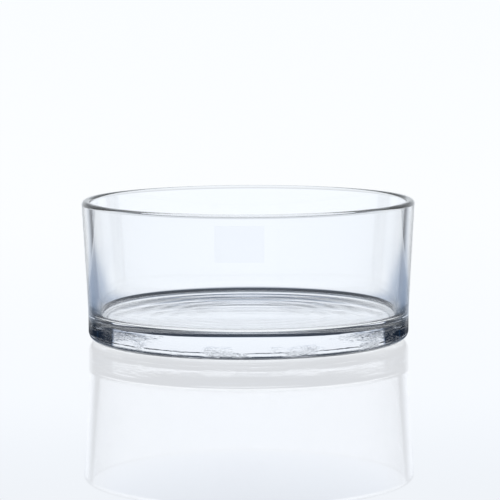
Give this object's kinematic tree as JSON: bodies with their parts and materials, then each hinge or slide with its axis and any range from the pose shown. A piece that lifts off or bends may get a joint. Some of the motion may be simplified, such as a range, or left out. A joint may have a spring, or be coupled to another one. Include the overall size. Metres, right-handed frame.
{
  "type": "floating candle bowl",
  "caption": "Low round bowl of thick clear pressed glass with a heavy floor and leaning walls, for water and floating candles, with a bare clear film label on its wall.",
  "frame": {"origin": "centre of the flat ring that the bowl rests on, on the bowl's axis", "axes": "+Z along the bowl's axis, up towards the rim; -Y is the front, where the label is"},
  "size_m": [0.1898, 0.1899, 0.08],
  "materials": {
    "clear_glass": "fire-polished clear glass, very slightly cool in tint",
    "clear_film": "smooth clear self-adhesive film, unprinted"
  },
  "bodies": {
    "root": {"glass_bowl": "clear_glass", "clear_label": "clear_film"}
  },
  "joints": []
}
